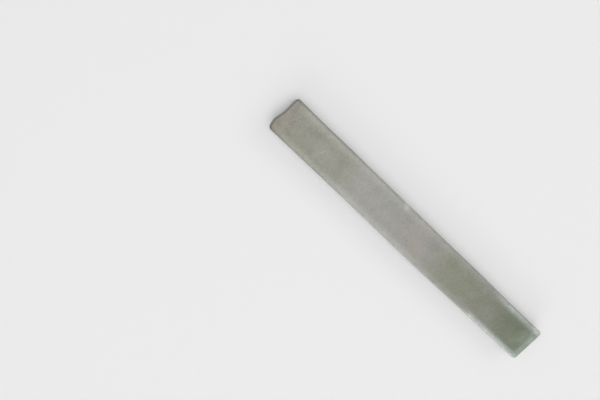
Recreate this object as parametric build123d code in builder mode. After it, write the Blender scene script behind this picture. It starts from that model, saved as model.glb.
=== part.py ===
from build123d import *
from math import radians, tan
import os

# A cast solder bar, lying on its narrow mould face with the free face of the casting upwards.
# X runs along the bar and Y across it. The origin is the middle of the narrow face, at Z = 0.

# Driving dimensions, in millimetres and degrees

bar_length = 290.0  # over the rounded ends of the free face
bar_width = 33.0  # over the rounded long edges of the free face
bar_height = 13.5  # from the narrow face up to the rim of the free face
side_draft = 11.0  # lean of each flank, so that the bar drops out of its mould
end_draft = 14.0  # lean of each end
corner_radius = 3.4  # the four standing corners
mould_edge_radius = 1.0  # all round the narrow face
free_edge_radius = 2.3  # all round the free face, where the melt drew back from its mould
side_rim = 2.8  # from a long edge in to where the free face starts to sink
end_rim = 7.0  # from an end in to where the free face starts to sink
sink_depth = 0.6  # how far the middle of the free face fell as the metal shrank
sink_lip_width = 4.5  # over which the rim rolls down into the sink

# Sizes that follow


def sharp_corner_reach(draft):
    """How far a wall that leans out by draft runs on past its rounded free edge."""
    half_angle = radians(90 - draft) / 2
    return free_edge_radius / tan(half_angle) - free_edge_radius


sharp_width = bar_width + 2 * sharp_corner_reach(side_draft)
sharp_length = bar_length + 2 * sharp_corner_reach(end_draft)

sink_half_width = bar_width / 2 - side_rim
sink_run_end = bar_length / 2 - end_rim - sink_half_width
sink_floor_z = bar_height - sink_depth
# The floor curves up and the lip curves over, and they meet on the straight line between
# the middle of the sink and its rim, so that the lip runs out flush with the free face.
lip_start = sink_half_width - sink_lip_width
lip_start_z = sink_floor_z + sink_depth * lip_start / sink_half_width

# Half of the sink's section, from the middle line of the bar to the rim

with BuildSketch() as half_sink:
    with BuildLine():
        floor = TangentArc((0, sink_floor_z), (lip_start, lip_start_z), tangent=(1, 0))
        lip = TangentArc(floor @ 1, (sink_half_width, bar_height), tangent=floor % 1)
        Polyline(lip @ 1, (0, bar_height), floor @ 0)
    make_face()

with BuildPart() as solder_bar:
    # The cavity of the mould, leaning outwards on all four sides
    with BuildSketch(Plane.YZ) as flanks:
        Trapezoid(
            sharp_width, bar_height, 90 - side_draft, rotation=180, align=(Align.CENTER, Align.MAX)
        )
    extrude(amount=sharp_length / 2, both=True)
    with BuildSketch(Plane.XZ) as ends:
        Trapezoid(
            sharp_length, bar_height, 90 - end_draft, rotation=180, align=(Align.CENTER, Align.MAX)
        )
    extrude(amount=sharp_width / 2, both=True, mode=Mode.INTERSECT)

    # The standing corners first, so that both rounded rims can run round them
    standing_corners = solder_bar.edges().group_by(Axis.Z)[1]
    fillet(standing_corners, corner_radius)
    free_face = solder_bar.faces().sort_by(Axis.Z)[-1]
    fillet(free_face.edges(), free_edge_radius)
    narrow_face = solder_bar.faces().sort_by(Axis.Z)[0]
    fillet(narrow_face.edges(), mould_edge_radius)

    # The sink: a long shallow trough in the free face that dies away round at both ends
    with BuildSketch(Plane.YZ) as sink_section:
        add(half_sink.sketch)
        mirror(about=Plane.YZ)
    extrude(amount=sink_run_end, both=True, mode=Mode.SUBTRACT)
    for sink_end_x in (-sink_run_end, sink_run_end):
        with BuildSketch(Plane((sink_end_x, 0, 0), x_dir=(1, 0, 0), z_dir=(0, -1, 0))):
            add(half_sink.sketch)
        revolve(axis=Axis((sink_end_x, 0, 0), (0, 0, 1)), mode=Mode.SUBTRACT)

solder_bar.part.label = "solder_bar"

os.makedirs("parts", exist_ok=True)
export_step(solder_bar.part, "parts/solder_bar.step")
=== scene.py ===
from math import cos, exp, hypot, pi, radians, sin, tan
from random import Random

import bmesh
import bpy
from mathutils import Matrix, Vector, noise
from mathutils.kdtree import KDTree


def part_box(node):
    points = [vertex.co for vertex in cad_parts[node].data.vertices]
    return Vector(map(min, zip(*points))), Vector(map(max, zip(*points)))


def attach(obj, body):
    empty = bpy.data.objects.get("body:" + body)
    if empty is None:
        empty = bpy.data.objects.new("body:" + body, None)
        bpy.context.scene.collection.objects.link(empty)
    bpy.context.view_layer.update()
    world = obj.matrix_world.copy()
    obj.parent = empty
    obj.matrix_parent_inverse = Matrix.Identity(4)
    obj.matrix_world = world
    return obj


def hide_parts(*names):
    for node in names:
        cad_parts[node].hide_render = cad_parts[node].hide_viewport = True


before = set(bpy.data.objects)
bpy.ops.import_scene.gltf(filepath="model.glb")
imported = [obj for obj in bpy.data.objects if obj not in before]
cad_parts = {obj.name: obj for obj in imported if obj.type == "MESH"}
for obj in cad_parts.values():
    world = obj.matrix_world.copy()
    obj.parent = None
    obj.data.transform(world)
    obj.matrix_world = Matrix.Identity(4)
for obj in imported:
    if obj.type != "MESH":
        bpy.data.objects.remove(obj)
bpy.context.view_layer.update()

MM = 0.001

# The sizes of the clean casting, the overall ones from the frame

low_corner, high_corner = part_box("solder_bar")
bar_length = high_corner.x - low_corner.x
bar_width = high_corner.y - low_corner.y
bar_height = high_corner.z - low_corner.z
side_draft = radians(11)  # lean of each flank
end_draft = radians(14)  # lean of each end
corner_radius = 3.4 * MM  # the four standing corners
mould_edge_radius = 1.0 * MM  # all round the narrow face
free_edge_radius = 2.3 * MM  # all round the free face
side_rim = 2.8 * MM  # from a long edge in to where the free face starts to sink
end_rim = 7.0 * MM  # from an end in to there
sink_depth = 0.6 * MM
sink_lip_width = 4.5 * MM  # over which the rim rolls down into the sink

sink_half_width = bar_width / 2 - side_rim
sink_run_end = bar_length / 2 - end_rim - sink_half_width
sink_lip_start = sink_half_width - sink_lip_width

# How finely the skin of the casting is meshed

skin_pitch = 0.62 * MM
corner_steps = 4
mould_edge_rows = 4
free_edge_rows = 9
long_steps = round((bar_length - 2 * corner_radius) / skin_pitch)
cross_steps = round((bar_width - 2 * corner_radius) / skin_pitch)
last_long = long_steps + 2 * corner_steps
last_cross = cross_steps + 2 * corner_steps

# The order of the two finishes on the skin

mould_skin_slot = 0
free_face_slot = 1

# What each vertex of the skin carries for the relief and the finishes

skin_layers = (
    "edge_wear",  # how far it lies on an edge that wears
    "edge_wear_and_highlight",  # how bright that edge is worn, with the rims' painted highlight
    "free_face",  # whether it set in the open
    "rim_zone",  # how far it belongs to the rim of the free face
    "rim_chill_and_highlight",  # how light its chilled metal is, with a painted highlight, strongest on the near rim
    "rim_rub_and_glint",  # how far handling has rubbed the rim, with a painted glint at the far corner of the finish end
    "end_rub_and_green_light",  # how far handling has rubbed the finish end, which also carries painted green light
    # the olive oxides are partly painted shade and green light towards the finish end
    "olive_oxide_and_green_light",
    "dark_olive_oxide_and_shade",
    "beige_oxide",
    "warm_oxide",
    "end_stain",
    "bare_metal",  # fresh metal in a knock
    "pit",
)

# How far the real outline draws in from the clean one

near_draw_in = 0.8 * MM
near_full_x = 18 * MM  # where the near rim is fullest
near_full_reach = 48 * MM
far_draw_in = 0.8 * MM
far_waver_pitch = 34 * MM
start_draw_in = 2.0 * MM
start_bulge_y = -8 * MM  # where the start end bulges
start_bulge_reach = 6.5 * MM
finish_draw_in = 0.4 * MM
finish_waver_pitch = 15 * MM
end_fade = 22 * MM  # how far from an end its draw-in reaches
mould_face_share = 0.4  # of the draw-in, at the narrow face

# How far the real skin strays inwards from the clean form

swell_depth = 0.16 * MM
swell_pitch = 24 * MM
wall_swell_share = 0.5
wrinkle_depth = 0.06 * MM
wrinkle_pitch = 5.5 * MM
wrinkle_stretch = 0.6  # the wrinkles are wider across the bar than along it
grain_depth = 0.022 * MM
grain_pitch = 1.7 * MM
lap_depth = 0.06 * MM
lap_pitch = 2.4 * MM
lap_run = 40 * MM
edge_wander_depth = 0.16 * MM
edge_wander_pitch = 9 * MM
edge_ripple_depth = 0.07 * MM
edge_ripple_pitch = 3.2 * MM

# Where each relief reads its noise, so that no two of them rise and fall together

wrinkle_field = 9
grain_field = 23
lap_field = 51
edge_wander_field = 77
edge_ripple_field = 64
far_waver_field = 3.7
finish_waver_field = 8.2

# How far wear and the chilled rim reach

edge_wear_falloff = 4  # how fast the wear fades down or up a wall
edge_wear_reach = 1.4 * MM  # how far it reaches over the free face and the narrow face
standing_corner_wear = 0.7
near_rim_reach = 2.8 * MM
far_rim_reach = 4.5 * MM
end_rim_reach = 7.6 * MM
rim_crest_range = (0.3, 0.85)

# Knocks along the edges and pits in the free face

knock_seed = 41
knock_count = 30
knock_radius_range = (0.8 * MM, 1.8 * MM)
knock_depth_share = 0.12
knocked_edge_wear = 0.9
dull_knock_shine = 0.3
bright_knock_x = -20.5 * MM
bright_knock_inset = 1.1 * MM
bright_knock_radius = 5.2 * MM
bright_knock_depth = 0.35 * MM
bright_knock_shine = 0.6
pit_seed = 17
pit_count = 26
pit_radius_range = (0.7 * MM, 1.4 * MM)
pit_depth_share = 0.05

# How bright the chilled rims and their painted highlight are along the bar: the near rim carries the
# most painted highlight

near_rim_range = (-125 * MM, 12 * MM)
near_rim_start_share = 0.6
near_rim_share = 1.55
near_rim_fall_range = (-5 * MM, 50 * MM)
near_rim_fall = 0.55
far_rim_share = 0.6
rubbed_rim_share = 0.6
# the start end's rims carry less of the painted highlight
dull_start_share = 0.9
dull_start_reach = 13 * MM

# Where handling has rubbed the rims bright, with a painted glint at the far corner of the finish end

near_rub_x = 82 * MM
far_rub_x = 94 * MM
rub_fade = 8 * MM
far_rub_share = 0.58
far_corner_glint_range = (130 * MM, 141 * MM)
corner_rub_range = (9.5 * MM, 14 * MM)
end_rub_share = 0.6
# the finish end's rub also lays painted green light over that end
finish_rub_share = 0.13
finish_rub_reach = 11 * MM

# Where the oxides have grown along the bar; the olive ones, darker and greener towards the finish
# end, are partly painted shade and green light

olive_haze_range = (12 * MM, 46 * MM)
olive_haze_share = 0.45
dark_olive_range = (81 * MM, 146 * MM)
beige_range = (-91 * MM, -56 * MM)
stain_reach = 12 * MM
stain_share = 0.95
stain_far_share = 0.7
stain_rim_share = 0.4
stain_rim_width = 4 * MM
warm_patch_x = 6 * MM
warm_patch_reach = 22 * MM
warm_patch_share = 0.6

# Colours of the face that set in the open

open_metal = (0.312, 0.308, 0.288)
warm_open_metal = (0.330, 0.309, 0.288)
olive_open_metal = (0.292, 0.298, 0.258)
frosted_metal = (0.405, 0.398, 0.372)
scratched_metal = (0.46, 0.455, 0.435)
# the chilled rim's light metal, which also carries a painted highlight
chilled_rim_and_highlight = (0.44, 0.435, 0.41)
pit_dross = (0.2, 0.195, 0.175)
rubbed_free_edge = (0.56, 0.565, 0.54)
mould_skin_at_edge = (0.45, 0.455, 0.45)

# Colours of the skin that the mould chilled

mould_skin = (0.46, 0.47, 0.465)
warm_mould_skin = (0.40, 0.395, 0.375)
olive_mould_skin = (0.34, 0.355, 0.335)
mould_streak = (0.50, 0.51, 0.505)
rubbed_mould_edge = (0.60, 0.605, 0.60)

# Colours that both share

# burnished metal, tinted with painted green light
burnish_and_green_light = (0.66, 0.748, 0.688)
fresh_metal = (0.72, 0.71, 0.69)
# painted glints on the crystals and painted shade between them
painted_crystal_glint = (0.62, 0.62, 0.55)
painted_crystal_gap_shade = (0.16, 0.158, 0.12)

# The tarnish of the free face: its layer, patches per metre, thinnest share and colour

tarnishes = (
    ("beige_oxide", 48.0, 0.6, (0.262, 0.260, 0.214)),
    ("warm_oxide", 60.0, 0.25, (0.418, 0.372, 0.336)),
    # the two olive tarnishes are partly painted shade and green light
    ("olive_oxide_and_green_light", 52.0, 0.6, (0.210, 0.240, 0.124)),
    ("dark_olive_oxide_and_shade", 44.0, 0.6, (0.153, 0.206, 0.122)),
    ("end_stain", 90.0, 0.6, (0.200, 0.160, 0.130)),
)

# How strong each effect is

frost_strength = 0.85
scratch_strength = 0.15
chill_and_highlight_strength = 0.5
pit_strength = 0.35
free_shade_strength = 0.14
mould_shade_strength = 0.08
scuff_smoothing = 0.06
polish_smoothing = 0.12
free_face_bump = 0.07 * MM
mould_skin_bump = 0.02 * MM

# How the patterns of the effects are drawn

olive_patch_fineness = 2.3  # times as many olive patches per metre as warm ones
frost_clump_fineness = 0.22  # times as many clumps of frost per metre as grains
rim_crest_power = 3.5  # how closely the burnish keeps to the crest of the rim
rim_streak_scale = (0.12, 1.0, 1.0)  # a number under 1 draws the streaks out that way
rim_streaks_per_metre = 1100.0
mould_streak_scale = (0.03, 0.25, 1.0)
mould_streaks_per_metre = 700.0
edge_breaks_per_metre = 130.0
mark_angles = (8, 64, -41)  # the directions of the fine scratches, in degrees
mark_offset = 0.37  # how far one direction's pattern is shifted from the last, in metres
mark_stretch = (14.0, 1.0, 1.0)  # how far the scratches are drawn out along and across

# The line where the open face meets the skin of the mould

skin_line_breaks_per_metre = 160.0
skin_line_unevenness = 0.6
skin_line_range = (0.35, 0.8)

# The camera: its place, where it looks and which way is up in the picture

camera_place = Vector((-0.2751, 0.0566, 0.6744))
camera_forward = Vector((0.2723, -0.1383, -0.9522))
picture_up = Vector((-0.6531, 0.7002, -0.2885))
focal_length_pixels = 900
picture_width_pixels = 600
film_width_mm = 36
nearest_seen = 0.01  # in metres from the camera

# The studio: its floor, its room and its soft lamps with place, width, height and watts

floor_colour = (0.86, 0.86, 0.85)
floor_roughness = 0.9
floor_glow = 0.12  # only as the camera and reflections see the floor
floor_glow_colour = (1.0, 1.0, 1.0)
floor_reach = 20.0
room_colour = (0.98, 0.99, 1.0)
room_strength = 0.4
soft_lamps = {
    "overhead_lamp": (Vector((-0.05, -0.1, 1.5)), 1.6, 1.6, 8.2),
    "near_strip_lamp": (Vector((0.65, -1.5, 0.7)), 1.7, 0.7, 5.6),
    "far_strip_lamp": (Vector((0.65, 1.35, 0.95)), 1.7, 0.7, 4.6),
    "end_lamp": (Vector((1.7, 0.3, 0.6)), 1.0, 1.0, 1.1),
    "start_lamp": (Vector((-1.5, -0.1, 1.0)), 1.2, 1.2, 2.0),
}


# The form of the bar


def unevenness(x, y, z):
    """Smooth noise from 0 to 1."""
    return 0.5 + 0.5 * noise.noise((x, y, z))


def smooth_step(value, low, high):
    """0 up to low, 1 from high on, and an even curve between."""
    share = min(1.0, max(0.0, (value - low) / (high - low)))
    return share * share * (3 - 2 * share)


def bell(value, middle, reach):
    """1 at the middle, fading evenly to 0 on both sides."""
    return exp(-((value - middle) / reach) ** 2)


def far_side(y):
    """0 on the near side of the bar, 1 on the far side, and an even change between."""
    return smooth_step(y, -bar_width / 4, bar_width / 4)


def wall_profile(half_span, draft):
    """The wall from the narrow face up to the free face, as (reach, height, pull) for each row.

    reach is how far the wall stands out from the middle of the bar, and pull is how far a
    rounded edge draws it in from the straight leaning wall.
    """
    edge_gain = free_edge_radius / tan((pi / 2 - draft) / 2) - free_edge_radius
    sharp_half_span = half_span + edge_gain

    def straight_reach(height):
        return sharp_half_span - (bar_height - height) * tan(draft)

    def rounded_edge(radius, centre_height, first_turn, last_turn, rows):
        centre_reach = straight_reach(centre_height) - radius / cos(draft)
        edge = []
        for row in range(rows + 1):
            turn = first_turn + (last_turn - first_turn) * row / rows
            edge.append((centre_reach + radius * cos(turn), centre_height + radius * sin(turn)))
        return edge

    mould_edge = rounded_edge(mould_edge_radius, mould_edge_radius, -pi / 2, -draft, mould_edge_rows)
    free_edge_centre = bar_height - free_edge_radius
    free_edge = rounded_edge(free_edge_radius, free_edge_centre, -draft, pi / 2, free_edge_rows)
    flank_rows = round((free_edge_centre - mould_edge_radius) / skin_pitch)
    flank = []
    for row in range(1, flank_rows):
        height = mould_edge[-1][1] + (free_edge[0][1] - mould_edge[-1][1]) * row / flank_rows
        flank.append((straight_reach(height), height))
    rows = mould_edge + flank + free_edge
    return [(reach, height, straight_reach(height) - reach) for reach, height in rows]


def side_places(half_span, radius, steps):
    """Places along one side of an outline with round corners, as (along, drop, turn).

    drop is how far the corner falls back from the straight side, and turn its angle.
    """
    straight_half = half_span - radius
    places = []
    for step in range(corner_steps, 0, -1):
        turn = pi / 4 * step / corner_steps
        places.append((-straight_half - radius * sin(turn), radius * (1 - cos(turn)), turn))
    for step in range(steps + 1):
        places.append((straight_half * (2 * step / steps - 1), 0.0, 0.0))
    for step in range(1, corner_steps + 1):
        turn = pi / 4 * step / corner_steps
        places.append((straight_half + radius * sin(turn), radius * (1 - cos(turn)), turn))
    return places


def outline_ring():
    """The border of the (along, across) grid, once round."""
    ring = [(i, 0) for i in range(last_long)]
    ring += [(last_long, j) for j in range(last_cross)]
    ring += [(i, last_cross) for i in range(last_long, 0, -1)]
    ring += [(0, j) for j in range(last_cross, 0, -1)]
    return ring


def outline_size(flank, end):
    """(half length, half width, corner radius) of the outline at one row of the walls."""
    half_width, _, flank_pull = flank
    half_length, _, end_pull = end
    return half_length, half_width, corner_radius - (flank_pull + end_pull) / 2


def outline_point(i, j, half_length, half_width, long_places, cross_places):
    """(x, y, flank share) of one border point: the share is 1 on a flank and 0 on an end."""
    if j in (0, last_cross):
        along, drop, turn = long_places[i]
        side = 1 if j else -1
        return along, side * (half_width - drop), cos(turn) ** 2
    along, drop, turn = cross_places[j]
    side = 1 if i else -1
    return side * (half_length - drop), along, sin(turn) ** 2


def sink(x, y):
    """How far the clean free face lies below its rim."""
    off_middle = hypot(max(abs(x) - sink_run_end, 0.0), y)
    if off_middle >= sink_half_width:
        return 0.0
    if off_middle <= sink_lip_start:
        return sink_depth * (1 - off_middle ** 2 / (sink_half_width * sink_lip_start))
    return sink_depth * (sink_half_width - off_middle) ** 2 / (sink_half_width * sink_lip_width)


def depth_inside(from_end, from_side, radius):
    """How far a place lies inside an outline whose corners are round."""
    if max(from_end, from_side) >= radius:
        return min(from_end, from_side)
    return radius - hypot(radius - from_end, radius - from_side)


def rim_nearness(from_end, from_side, y):
    """1 on the rim of the free face, fading to 0 where its chilled metal ends."""
    side_reach = near_rim_reach + (far_rim_reach - near_rim_reach) * far_side(y)
    end_nearness = bell(from_end, 0.0, end_rim_reach)
    side_nearness = bell(from_side, 0.0, side_reach)
    return 1 - (1 - end_nearness) * (1 - side_nearness)


def row_edge_wear(row, last_row):
    """The wear of one row of the walls: full on the rounded edges, less between them."""
    over_mould_edge = max(0.0, row - mould_edge_rows / 2) / mould_edge_rows
    under_free_edge = max(0.0, last_row - free_edge_rows / 2 - row) / free_edge_rows
    nearest = min(over_mould_edge, under_free_edge)
    return exp(-edge_wear_falloff * nearest ** 2)


def raise_walls(skin, ring, flank_rows, end_rows):
    """The walls round the bar, row by row from the narrow face up; gives back their vertices."""
    edge_wear = skin.verts.layers.float["edge_wear"]
    free_face = skin.verts.layers.float["free_face"]
    rim_zone = skin.verts.layers.float["rim_zone"]
    last_row = len(flank_rows) - 1
    walls = []
    for row, (flank, end) in enumerate(zip(flank_rows, end_rows)):
        half_length, half_width, radius = outline_size(flank, end)
        long_places = side_places(half_length, radius, long_steps)
        cross_places = side_places(half_width, radius, cross_steps)
        flank_height, end_height = flank[1], end[1]
        row_wear = row_edge_wear(row, last_row)
        row_free = max(0.0, 1 - (last_row - row) / free_edge_rows)
        verts = []
        for i, j in ring:
            x, y, share = outline_point(i, j, half_length, half_width, long_places, cross_places)
            vert = skin.verts.new((x, y, end_height + (flank_height - end_height) * share))
            on_corner = 4 * share * (1 - share)  # 1 half-way round a standing corner, 0 off it
            vert[edge_wear] = max(row_wear, on_corner * standing_corner_wear)
            vert[free_face] = row_free
            vert[rim_zone] = smooth_step(row_free, *rim_crest_range)
            verts.append(vert)
        walls.append(verts)
    for row, (lower, upper) in enumerate(zip(walls, walls[1:])):
        is_free = row >= last_row - free_edge_rows
        for k in range(len(ring)):
            after = (k + 1) % len(ring)
            face = skin.faces.new((lower[k], lower[after], upper[after], upper[k]))
            face.material_index = free_face_slot if is_free else mould_skin_slot
    return walls


def close_face(skin, border, flank, end, is_free):
    """Closes the narrow face or the free face with a grid inside its border."""
    edge_wear = skin.verts.layers.float["edge_wear"]
    free_face = skin.verts.layers.float["free_face"]
    rim_zone = skin.verts.layers.float["rim_zone"]
    half_length, half_width, radius = outline_size(flank, end)
    height = end[1]
    long_places = side_places(half_length, radius, long_steps)
    cross_places = side_places(half_width, radius, cross_steps)
    grid = dict(border)
    for i in range(1, last_long):
        for j in range(1, last_cross):
            x, y = long_places[i][0], cross_places[j][0]
            vert = skin.verts.new((x, y, height - is_free * sink(x, y)))
            from_end, from_side = half_length - abs(x), half_width - abs(y)
            vert[edge_wear] = exp(-depth_inside(from_end, from_side, radius) / edge_wear_reach)
            vert[free_face] = is_free
            vert[rim_zone] = is_free * rim_nearness(from_end, from_side, y)
            grid[i, j] = vert
    for i in range(last_long):
        for j in range(last_cross):
            corners = (grid[i, j], grid[i + 1, j], grid[i + 1, j + 1], grid[i, j + 1])
            face = skin.faces.new(corners if is_free else corners[::-1])
            face.material_index = free_face_slot if is_free else mould_skin_slot


def cast_form():
    """The clean casting as one closed skin, with its layers."""
    skin = bmesh.new()
    for name in skin_layers:
        skin.verts.layers.float.new(name)
    flank_rows = wall_profile(bar_width / 2, side_draft)
    end_rows = wall_profile(bar_length / 2, end_draft)
    ring = outline_ring()
    walls = raise_walls(skin, ring, flank_rows, end_rows)
    for row, is_free in ((0, False), (-1, True)):
        close_face(skin, zip(ring, walls[row]), flank_rows[row], end_rows[row], is_free)
    return skin


# The real skin of the casting


def draw_in_outline(place):
    """Where a place on the clean form lies once the real outline has drawn in."""
    x, y, z = place
    near_fall = near_draw_in * (1 - bell(x, near_full_x, near_full_reach))
    far_fall = far_draw_in * unevenness(x / far_waver_pitch, far_waver_field, 0.0)
    start_fall = start_draw_in * (1 - bell(y, start_bulge_y, start_bulge_reach))
    finish_fall = finish_draw_in * unevenness(y / finish_waver_pitch, finish_waver_field, 0.0)
    far_share = y / bar_width + 0.5
    start_share = max(0.0, 1 - (x + bar_length / 2) / end_fade) ** 2
    finish_share = max(0.0, 1 - (bar_length / 2 - x) / end_fade) ** 2
    height_share = mould_face_share + (1 - mould_face_share) * z / bar_height
    inwards_y = near_fall * (1 - far_share) - far_fall * far_share
    inwards_x = start_fall * start_share - finish_fall * finish_share
    return Vector((x + inwards_x * height_share, y + inwards_y * height_share, z))


def skin_relief(place, is_free, wear):
    """How far the real skin lies inside the clean form at a place."""
    x, y, z = place
    swell = swell_depth * unevenness(x / swell_pitch, y / swell_pitch, z / swell_pitch)
    wrinkle_y = y / wrinkle_pitch * wrinkle_stretch
    wrinkle = unevenness(x / wrinkle_pitch, wrinkle_y, z / wrinkle_pitch + wrinkle_field)
    grain = unevenness(x / grain_pitch, y / grain_pitch, z / grain_pitch + grain_field)
    lap = unevenness(x / lap_run, y / lap_run, z / lap_pitch + lap_field) ** 2
    wander = unevenness(x / edge_wander_pitch, y / edge_wander_pitch, edge_wander_field)
    ripple_z = z / edge_ripple_pitch + edge_ripple_field
    ripple = unevenness(x / edge_ripple_pitch, y / edge_ripple_pitch, ripple_z)
    free_relief = swell + wrinkle_depth * wrinkle + grain_depth * grain
    wall_relief = wall_swell_share * swell + lap_depth * lap
    relief = is_free * free_relief + (1 - is_free) * wall_relief
    return relief + wear * (edge_wander_depth * wander + edge_ripple_depth * ripple)


def roughen(skin):
    """Draws the outline in and lays the relief of a real casting into the skin."""
    edge_wear = skin.verts.layers.float["edge_wear"]
    free_face = skin.verts.layers.float["free_face"]
    for vert in skin.verts:
        vert.co = draw_in_outline(vert.co)
    skin.normal_update()
    for vert in skin.verts:
        vert.co -= vert.normal * skin_relief(vert.co, vert[free_face], vert[edge_wear])


def press_dent(tree, skin, centre, inwards, radius, depth, layer, mark=1.0):
    """Pushes a smooth round dent into the skin and marks it in a layer."""
    for _, index, distance in tree.find_range(centre, radius):
        share = (1 - (distance / radius) ** 2) ** 2
        vert = skin.verts[index]
        vert.co += inwards * (depth * share)
        vert[layer] = max(vert[layer], mark * share)


def knock_edges(skin, tree):
    """Small knocks along the edges from handling, and one bright nick in the far edge."""
    edge_wear = skin.verts.layers.float["edge_wear"]
    bare = skin.verts.layers.float["bare_metal"]
    chance = Random(knock_seed)
    edge_verts = [vert for vert in skin.verts if vert[edge_wear] > knocked_edge_wear]
    middle_height = bar_height / 2
    for _ in range(knock_count):
        centre = chance.choice(edge_verts).co.copy()
        radius = chance.uniform(*knock_radius_range)
        inwards = Vector((0, -centre.y, middle_height - centre.z)).normalized()
        depth = radius * knock_depth_share
        press_dent(tree, skin, centre, inwards, radius, depth, bare, dull_knock_shine)
    centre = Vector((bright_knock_x, bar_width / 2 - bright_knock_inset, bar_height))
    inwards = Vector((0, -1, -1)).normalized()
    radius, depth = bright_knock_radius, bright_knock_depth
    press_dent(tree, skin, centre, inwards, radius, depth, bare, bright_knock_shine)


def pit_free_face(skin, tree):
    """Shallow pits that gas and dross leave in the free face."""
    pit_layer = skin.verts.layers.float["pit"]
    down = Vector((0, 0, -1))
    chance = Random(pit_seed)
    for _ in range(pit_count):
        x = chance.uniform(-0.5, 0.5) * (bar_length - 2 * end_rim)
        y = chance.uniform(-0.5, 0.5) * (bar_width - 2 * side_rim)
        radius = chance.uniform(*pit_radius_range)
        centre = Vector((x, y, bar_height - sink(x, y)))
        press_dent(tree, skin, centre, down, radius, radius * pit_depth_share, pit_layer)


def dent(skin):
    """Presses the knocks and the pits into the roughened skin."""
    skin.verts.ensure_lookup_table()
    tree = KDTree(len(skin.verts))
    for index, vert in enumerate(skin.verts):
        tree.insert(vert.co, index)
    tree.balance()
    knock_edges(skin, tree)
    pit_free_face(skin, tree)


# Where the skin is bright and where it has tarnished


def rim_brightness(x, y, rub):
    """How strong the chilled rim's light metal and its painted highlight are at a place; rub is how
    far it is rubbed.
    """
    growth = smooth_step(x, *near_rim_range)
    near_share = near_rim_start_share + (near_rim_share - near_rim_start_share) * growth
    near_share -= near_rim_fall * smooth_step(x, *near_rim_fall_range)
    brightness = near_share + (far_rim_share - near_share) * far_side(y)
    brightness *= 1 - (1 - rubbed_rim_share) * rub
    return brightness * (1 - dull_start_share * bell(x, -bar_length / 2, dull_start_reach))


def stain_strength(x, y):
    """How strong the brown stain at the start of the bar is at a place; its rim has less."""
    from_start = x + bar_length / 2
    across = 1 - (1 - stain_far_share) * far_side(y)
    rim = stain_rim_share + (1 - stain_rim_share) * smooth_step(from_start, 0.0, stain_rim_width)
    return stain_share * across * rim * bell(from_start, 0.0, stain_reach)


def mark_rub_and_oxide(skin):
    """Marks where the rims are rubbed bright, with painted highlights and glints, and where the free
    face has oxidized, partly as painted shade and green light.
    """
    layers = {name: skin.verts.layers.float[name] for name in skin_layers}
    for vert in skin.verts:
        x, y = vert.co.xy
        rub_x = far_rub_x if y > 0 else near_rub_x
        along = smooth_step(x, rub_x - rub_fade, rub_x + rub_fade)
        beside = smooth_step(abs(y), *corner_rub_range)
        # the far rim is rubbed less, save for a painted glint near the far corner of the finish end
        far_dullness = (1 - far_rub_share) * (1 - smooth_step(x, *far_corner_glint_range))
        strength = 1 - far_dullness * far_side(y)
        rub = along * (end_rub_share + (strength - end_rub_share) * beside)
        brightness = rim_brightness(x, y, along)
        vert[layers["rim_rub_and_glint"]] = rub
        vert[layers["end_rub_and_green_light"]] = finish_rub_share * bell(x, bar_length / 2, finish_rub_reach)
        vert[layers["rim_chill_and_highlight"]] = vert[layers["rim_zone"]] * brightness
        # the edges' wear brightens further where the rims carry painted highlight
        vert[layers["edge_wear_and_highlight"]] = vert[layers["edge_wear"]] * max(brightness, rub)
        # olive oxide and painted shade with green light, growing towards the finish end
        vert[layers["olive_oxide_and_green_light"]] = olive_haze_share * smooth_step(x, *olive_haze_range)
        vert[layers["dark_olive_oxide_and_shade"]] = smooth_step(x, *dark_olive_range)
        vert[layers["beige_oxide"]] = 1 - smooth_step(x, *beige_range)
        vert[layers["warm_oxide"]] = warm_patch_share * bell(x, warm_patch_x, warm_patch_reach)
        vert[layers["end_stain"]] = stain_strength(x, y)


def make_solder_bar(mould_skin_finish, free_face_finish):
    """The bar as it left its mould, with its relief, knocks and pits."""
    skin = cast_form()
    mark_rub_and_oxide(skin)
    roughen(skin)
    dent(skin)
    for face in skin.faces:
        face.smooth = True
    mesh = bpy.data.meshes.new("solder_bar_casting")
    skin.to_mesh(mesh)
    skin.free()
    for finish in (mould_skin_finish, free_face_finish):
        mesh.materials.append(finish)
    bar = bpy.data.objects.new("solder_bar_casting", mesh)
    bpy.context.collection.objects.link(bar)
    return bar


# Nodes that the finishes are made of


def feed(tree, socket, value):
    """Gives an input its value: a number, a colour or what another node puts out."""
    if isinstance(value, bpy.types.NodeSocket):
        tree.links.new(value, socket)
    elif isinstance(value, tuple):
        socket.default_value = (*value, 1.0)
    else:
        socket.default_value = value


def object_place(tree):
    """Coordinates in metres, fixed to the bar."""
    return tree.nodes.new("ShaderNodeTexCoord").outputs["Object"]


def drawn_out_place(tree, scale):
    """Coordinates fixed to the bar, scaled so that a pattern is drawn out along it."""
    node = tree.nodes.new("ShaderNodeMapping")
    node.inputs["Scale"].default_value = scale
    tree.links.new(object_place(tree), node.inputs["Vector"])
    return node.outputs["Vector"]


def noise_texture(tree, coordinates, scale, detail=4.0, roughness=0.55):
    """A noise texture at a scale that is a number or a socket."""
    node = tree.nodes.new("ShaderNodeTexNoise")
    node.inputs["Detail"].default_value = detail
    node.inputs["Roughness"].default_value = roughness
    tree.links.new(coordinates, node.inputs["Vector"])
    feed(tree, node.inputs["Scale"], scale)
    return node.outputs["Fac"]


def arithmetic(tree, operation, first, second):
    """A math node on numbers or sockets."""
    node = tree.nodes.new("ShaderNodeMath")
    node.operation = operation
    feed(tree, node.inputs[0], first)
    feed(tree, node.inputs[1], second)
    return node.outputs["Value"]


def product(tree, first, *others):
    """Numbers or sockets multiplied together."""
    result = first
    for factor in others:
        result = arithmetic(tree, "MULTIPLY", result, factor)
    return result


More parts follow.
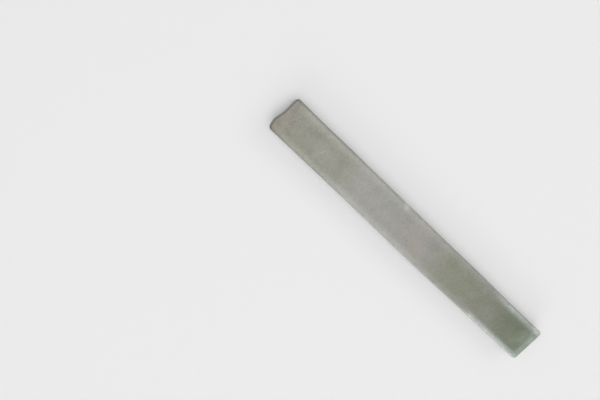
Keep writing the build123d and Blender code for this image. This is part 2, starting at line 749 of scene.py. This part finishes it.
def remap(tree, value, low=0.0, high=1.0, new_low=0.0, new_high=1.0):
    """value from low to high, stretched to new_low to new_high and held there."""
    node = tree.nodes.new("ShaderNodeMapRange")
    node.interpolation_type = "SMOOTHSTEP"
    tree.links.new(value, node.inputs["Value"])
    node.inputs["From Min"].default_value = low
    node.inputs["From Max"].default_value = high
    node.inputs["To Min"].default_value = new_low
    node.inputs["To Max"].default_value = new_high
    return node.outputs["Result"]


def mix_colour(tree, share, first, second):
    """A mix of two colours, given as values or sockets."""
    node = tree.nodes.new("ShaderNodeMix")
    node.data_type = "RGBA"
    first_colour, second_colour = [socket for socket in node.inputs if socket.type == "RGBA"]
    tree.links.new(share, node.inputs["Factor"])
    feed(tree, first_colour, first)
    feed(tree, second_colour, second)
    return next(socket for socket in node.outputs if socket.type == "RGBA")


def read_layer(tree, name):
    """A number that the mesh holds for each vertex."""
    node = tree.nodes.new("ShaderNodeAttribute")
    node.attribute_name = name
    return node.outputs["Fac"]


def broken_layer(tree, name, patches_per_metre, least):
    """A layer of the mesh, broken up into patches between least and 1."""
    patches = noise_texture(tree, object_place(tree), patches_per_metre)
    thickness = remap(tree, patches, low=0.36, high=0.6, new_low=least)
    return product(tree, read_layer(tree, name), thickness)


def bump(tree, height, distance):
    """A bump node whose distance is in metres."""
    node = tree.nodes.new("ShaderNodeBump")
    node.inputs["Distance"].default_value = distance
    node.inputs["Strength"].default_value = 1.0
    tree.links.new(height, node.inputs["Height"])
    return node.outputs["Normal"]


# Effects that the finishes share, each a node group

colour_socket = "NodeSocketColor"
number_socket = "NodeSocketFloat"


def new_group(name, inputs, outputs):
    """An empty shader group; inputs and outputs give the name and the kind of each socket."""
    group = bpy.data.node_groups.new(name, "ShaderNodeTree")
    for direction, sockets in (("INPUT", inputs), ("OUTPUT", outputs)):
        for socket_name, kind in sockets.items():
            group.interface.new_socket(socket_name, in_out=direction, socket_type=kind)
    inlet = group.nodes.new("NodeGroupInput")
    outlet = group.nodes.new("NodeGroupOutput")
    return group, inlet.outputs, outlet.inputs


def place_group(tree, name, values):
    """One use of a shader group, with its own values; gives back what it puts out."""
    node = tree.nodes.new("ShaderNodeGroup")
    node.node_tree = bpy.data.node_groups[name]
    for input_name, value in values.items():
        feed(tree, node.inputs[input_name], value)
    return node.outputs


def make_oxide_bloom():
    """Group: patches of oxide, some warm and some olive, over the clean metal."""
    inputs = {
        "Clean Metal": colour_socket,
        "Warm Oxide": colour_socket,
        "Olive Oxide": colour_socket,
        "Patches Per Metre": number_socket,
    }
    group, given, result = new_group("oxide_bloom", inputs, {"Colour": colour_socket})
    place = object_place(group)
    patches_per_metre = given["Patches Per Metre"]
    warm = remap(group, noise_texture(group, place, patches_per_metre), low=0.42, high=0.66)
    finer = product(group, patches_per_metre, olive_patch_fineness)
    olive = remap(group, noise_texture(group, place, finer), low=0.45, high=0.70)
    tinted = mix_colour(group, warm, given["Clean Metal"], given["Warm Oxide"])
    bloomed = mix_colour(group, olive, tinted, given["Olive Oxide"])
    group.links.new(bloomed, result["Colour"])


def make_casting_grain():
    """Group: the frosty crystals and fine pits of a metal that set in the open or in a mould."""
    inputs = {"Grains Per Metre": number_socket}
    outputs = {"Height": number_socket, "Frost": number_socket, "Crystals": number_socket}
    group, given, result = new_group("casting_grain", inputs, outputs)
    place = object_place(group)
    grains_per_metre = given["Grains Per Metre"]
    cells = group.nodes.new("ShaderNodeTexVoronoi")
    cells.feature = "SMOOTH_F1"
    group.links.new(place, cells.inputs["Vector"])
    group.links.new(grains_per_metre, cells.inputs["Scale"])
    frost = noise_texture(group, place, grains_per_metre, detail=6.0, roughness=0.7)
    coarser = product(group, grains_per_metre, frost_clump_fineness)
    clumped_frost = product(group, frost, noise_texture(group, place, coarser, detail=3.0))
    height = arithmetic(group, "ADD", cells.outputs["Distance"], frost)
    group.links.new(height, result["Height"])
    group.links.new(remap(group, clumped_frost, low=0.15, high=0.38), result["Frost"])
    group.links.new(remap(group, frost, low=0.36, high=0.64), result["Crystals"])


def make_grain_shade():
    """Group: a colour with painted glints on the crystals of the metal and painted shade between
    them.
    """
    inputs = {"Colour": colour_socket, "Crystals": number_socket, "Strength": number_socket}
    group, given, result = new_group("grain_shade", inputs, {"Colour": colour_socket})
    glint_share = product(group, given["Crystals"], given["Strength"])
    gap_shade_share = arithmetic(group, "SUBTRACT", given["Strength"], glint_share)
    lightened = mix_colour(group, glint_share, given["Colour"], painted_crystal_glint)
    group.links.new(mix_colour(group, gap_shade_share, lightened, painted_crystal_gap_shade), result["Colour"])


def make_handling_marks():
    """Group: fine scratches from handling, in three directions."""
    inputs = {"Marks Per Metre": number_socket}
    group, given, result = new_group("handling_marks", inputs, {"Marks": number_socket})
    place = object_place(group)
    marks = None
    for number, angle in enumerate(mark_angles):
        turned = group.nodes.new("ShaderNodeMapping")
        turned.vector_type = "TEXTURE"
        turned.inputs["Rotation"].default_value = (0.0, 0.0, radians(angle))
        turned.inputs["Location"].default_value = (mark_offset * number, 0.0, 0.0)
        turned.inputs["Scale"].default_value = mark_stretch
        group.links.new(place, turned.inputs["Vector"])
        lines = noise_texture(group, turned.outputs["Vector"], given["Marks Per Metre"], detail=2.0)
        thin = remap(group, lines, low=0.67, high=0.73)
        marks = thin if marks is None else arithmetic(group, "MAXIMUM", marks, thin)
    group.links.new(marks, result["Marks"])


def make_edge_polish_and_painted_light():
    """Group: a colour with its edges worn bright under a painted highlight, its rims burnished with
    painted green light and glints, and its knocks bare.
    """
    inputs = {
        "Colour": colour_socket,
        "Rubbed Edge": colour_socket,
        "Breaks Per Metre": number_socket,
    }
    outputs = {"Colour": colour_socket, "Polish And Highlight": number_socket}
    group, given, result = new_group("edge_polish_and_painted_light", inputs, outputs)
    breaks = noise_texture(group, object_place(group), given["Breaks Per Metre"])
    broken = remap(group, breaks, low=0.25, high=0.6, new_low=0.55)
    rub = read_layer(group, "rim_rub_and_glint")
    handled_and_glint = remap(group, rub, new_low=0.3)
    polish_and_highlight = product(group, read_layer(group, "edge_wear_and_highlight"), broken, handled_and_glint)
    crest = arithmetic(group, "POWER", read_layer(group, "rim_zone"), rim_crest_power)
    drawn_out = drawn_out_place(group, rim_streak_scale)
    lines = noise_texture(group, drawn_out, rim_streaks_per_metre)
    streaks = remap(group, lines, low=0.32, high=0.68, new_low=0.6, new_high=1.3)
    rim_burnish_and_glint = product(group, crest, rub, streaks, broken)
    # the burnish carries painted green light and the far corner's painted glint
    burnish_and_glint = arithmetic(group, "MAXIMUM", rim_burnish_and_glint, read_layer(group, "end_rub_and_green_light"))
    rubbed_and_highlit = mix_colour(group, polish_and_highlight, given["Colour"], given["Rubbed Edge"])
    burnished_with_green_light = mix_colour(group, burnish_and_glint, rubbed_and_highlit, burnish_and_green_light)
    knocked = mix_colour(group, read_layer(group, "bare_metal"), burnished_with_green_light, fresh_metal)
    group.links.new(knocked, result["Colour"])
    group.links.new(polish_and_highlight, result["Polish And Highlight"])


# Finishes of the cast metal


def new_finish(name):
    """A material with only its shader and its output."""
    material = bpy.data.materials.new(name)
    material.use_nodes = True
    return material, material.node_tree, material.node_tree.nodes["Principled BSDF"]


def make_free_face_finish():
    """The dull, frosty face that set in the open, with brighter rubbed rims that also carry painted
    highlights and glints.
    """
    material, tree, shader = new_finish("frosted_free_face")
    bloom = place_group(tree, "oxide_bloom", {
        "Clean Metal": open_metal,
        "Warm Oxide": warm_open_metal,
        "Olive Oxide": olive_open_metal,
        "Patches Per Metre": 34.0,
    })
    mottle = place_group(tree, "casting_grain", {"Grains Per Metre": 300.0})
    grain = place_group(tree, "casting_grain", {"Grains Per Metre": 1100.0})
    marks = place_group(tree, "handling_marks", {"Marks Per Metre": 380.0})

    frost_share = product(tree, mottle["Frost"], frost_strength)
    colour = mix_colour(tree, frost_share, bloom["Colour"], frosted_metal)
    for layer, patches_per_metre, least, tarnish in tarnishes:
        patches = broken_layer(tree, layer, patches_per_metre, least)
        colour = mix_colour(tree, patches, colour, tarnish)
    for mask, strength, tint in (
        (marks["Marks"], scratch_strength, scratched_metal),
        # the rims' chilled metal, with a painted highlight
        (read_layer(tree, "rim_chill_and_highlight"), chill_and_highlight_strength, chilled_rim_and_highlight),
        (read_layer(tree, "pit"), pit_strength, pit_dross),
    ):
        colour = mix_colour(tree, product(tree, mask, strength), colour, tint)
    worn_and_painted_light = place_group(tree, "edge_polish_and_painted_light", {
        "Colour": colour,
        "Rubbed Edge": rubbed_free_edge,
        "Breaks Per Metre": edge_breaks_per_metre,
    })
    shaded = place_group(tree, "grain_shade", {
        "Colour": worn_and_painted_light["Colour"],
        "Crystals": grain["Crystals"],
        "Strength": free_shade_strength,
    })
    breaks = noise_texture(tree, object_place(tree), skin_line_breaks_per_metre)
    uneven = product(tree, breaks, skin_line_unevenness)
    raised = arithmetic(tree, "ADD", read_layer(tree, "free_face"), uneven)
    open_share = remap(tree, raised, *skin_line_range)
    edged = mix_colour(tree, open_share, mould_skin_at_edge, shaded["Colour"])
    tree.links.new(edged, shader.inputs["Base Color"])

    shader.inputs["Metallic"].default_value = 0.9
    dull = remap(tree, mottle["Frost"], new_low=0.37, new_high=0.47)
    scuffed = arithmetic(tree, "SUBTRACT", dull, product(tree, marks["Marks"], scuff_smoothing))
    smoothed = arithmetic(tree, "SUBTRACT", scuffed, product(tree, worn_and_painted_light["Polish And Highlight"], polish_smoothing))
    tree.links.new(smoothed, shader.inputs["Roughness"])
    height = arithmetic(tree, "ADD", mottle["Height"], grain["Height"])
    tree.links.new(bump(tree, height, free_face_bump), shader.inputs["Normal"])
    return material


def make_mould_skin_finish():
    """The smoother, shinier skin that the mould chilled, with streaks along the bar."""
    material, tree, shader = new_finish("chilled_mould_skin")
    bloom = place_group(tree, "oxide_bloom", {
        "Clean Metal": mould_skin,
        "Warm Oxide": warm_mould_skin,
        "Olive Oxide": olive_mould_skin,
        "Patches Per Metre": 40.0,
    })
    grain = place_group(tree, "casting_grain", {"Grains Per Metre": 600.0})
    drawn_out = drawn_out_place(tree, mould_streak_scale)
    lines = noise_texture(tree, drawn_out, mould_streaks_per_metre)
    streaks = remap(tree, lines, low=0.35, high=0.65)
    worn_and_painted_light = place_group(tree, "edge_polish_and_painted_light", {
        "Colour": mix_colour(tree, streaks, bloom["Colour"], mould_streak),
        "Rubbed Edge": rubbed_mould_edge,
        "Breaks Per Metre": edge_breaks_per_metre,
    })
    shaded = place_group(tree, "grain_shade", {
        "Colour": worn_and_painted_light["Colour"],
        "Crystals": grain["Crystals"],
        "Strength": mould_shade_strength,
    })
    tree.links.new(shaded["Colour"], shader.inputs["Base Color"])

    shader.inputs["Metallic"].default_value = 0.95
    smoothness = remap(tree, streaks, new_low=0.34, new_high=0.24)
    tree.links.new(smoothness, shader.inputs["Roughness"])
    height = arithmetic(tree, "ADD", grain["Height"], streaks)
    tree.links.new(bump(tree, height, mould_skin_bump), shader.inputs["Normal"])
    return material


# The studio


def make_floor():
    """A plain pale floor, wide enough to fill every view."""
    material, tree, shader = new_finish("pale_floor")
    feed(tree, shader.inputs["Base Color"], floor_colour)
    shader.inputs["Roughness"].default_value = floor_roughness
    rays = tree.nodes.new("ShaderNodeLightPath").outputs
    seen = arithmetic(tree, "MAXIMUM", rays["Is Camera Ray"], rays["Is Glossy Ray"])
    tree.links.new(product(tree, seen, floor_glow), shader.inputs["Emission Strength"])
    feed(tree, shader.inputs["Emission Color"], floor_glow_colour)
    mesh = bpy.data.meshes.new("studio_floor")
    reach = floor_reach
    corners = [(-reach, -reach, 0), (reach, -reach, 0), (reach, reach, 0), (-reach, reach, 0)]
    mesh.from_pydata(corners, [], [(0, 1, 2, 3)])
    mesh.materials.append(material)
    floor = bpy.data.objects.new("studio_floor", mesh)
    bpy.context.collection.objects.link(floor)


def aim_matrix(place, forward, up):
    """The pose of a camera or lamp that looks along forward from place."""
    back = -forward.normalized()
    right = up.cross(back).normalized()
    turned = Matrix((right, back.cross(right), back)).transposed()
    return Matrix.Translation(place) @ turned.to_4x4()


def light_studio():
    """Soft white lamps that look at the bar, in a pale room."""
    world = bpy.data.worlds.new("pale_room")
    world.use_nodes = True
    room = world.node_tree.nodes["Background"]
    feed(world.node_tree, room.inputs["Color"], room_colour)
    room.inputs["Strength"].default_value = room_strength
    bpy.context.scene.world = world
    for name, (place, width, height, power) in soft_lamps.items():
        lamp = bpy.data.lights.new(name, "AREA")
        lamp.shape = "RECTANGLE"
        lamp.size = width
        lamp.size_y = height
        lamp.energy = power
        holder = bpy.data.objects.new(name, lamp)
        holder.matrix_world = aim_matrix(place, -place, Vector((0, 0, 1)))
        bpy.context.collection.objects.link(holder)


def add_camera():
    """The camera at the photograph's viewing angle."""
    lens = bpy.data.cameras.new("camera")
    lens.sensor_width = film_width_mm
    lens.lens = film_width_mm * focal_length_pixels / picture_width_pixels
    lens.clip_start = nearest_seen
    camera = bpy.data.objects.new("camera", lens)
    camera.matrix_world = aim_matrix(camera_place, camera_forward, picture_up)
    bpy.context.collection.objects.link(camera)
    bpy.context.scene.camera = camera


# The bar in its studio

bpy.context.scene.view_settings.view_transform = "Standard"
make_oxide_bloom()
make_casting_grain()
make_grain_shade()
make_handling_marks()
make_edge_polish_and_painted_light()
casting = make_solder_bar(make_mould_skin_finish(), make_free_face_finish())
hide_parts("solder_bar")
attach(casting, "root")
make_floor()
light_studio()
add_camera()
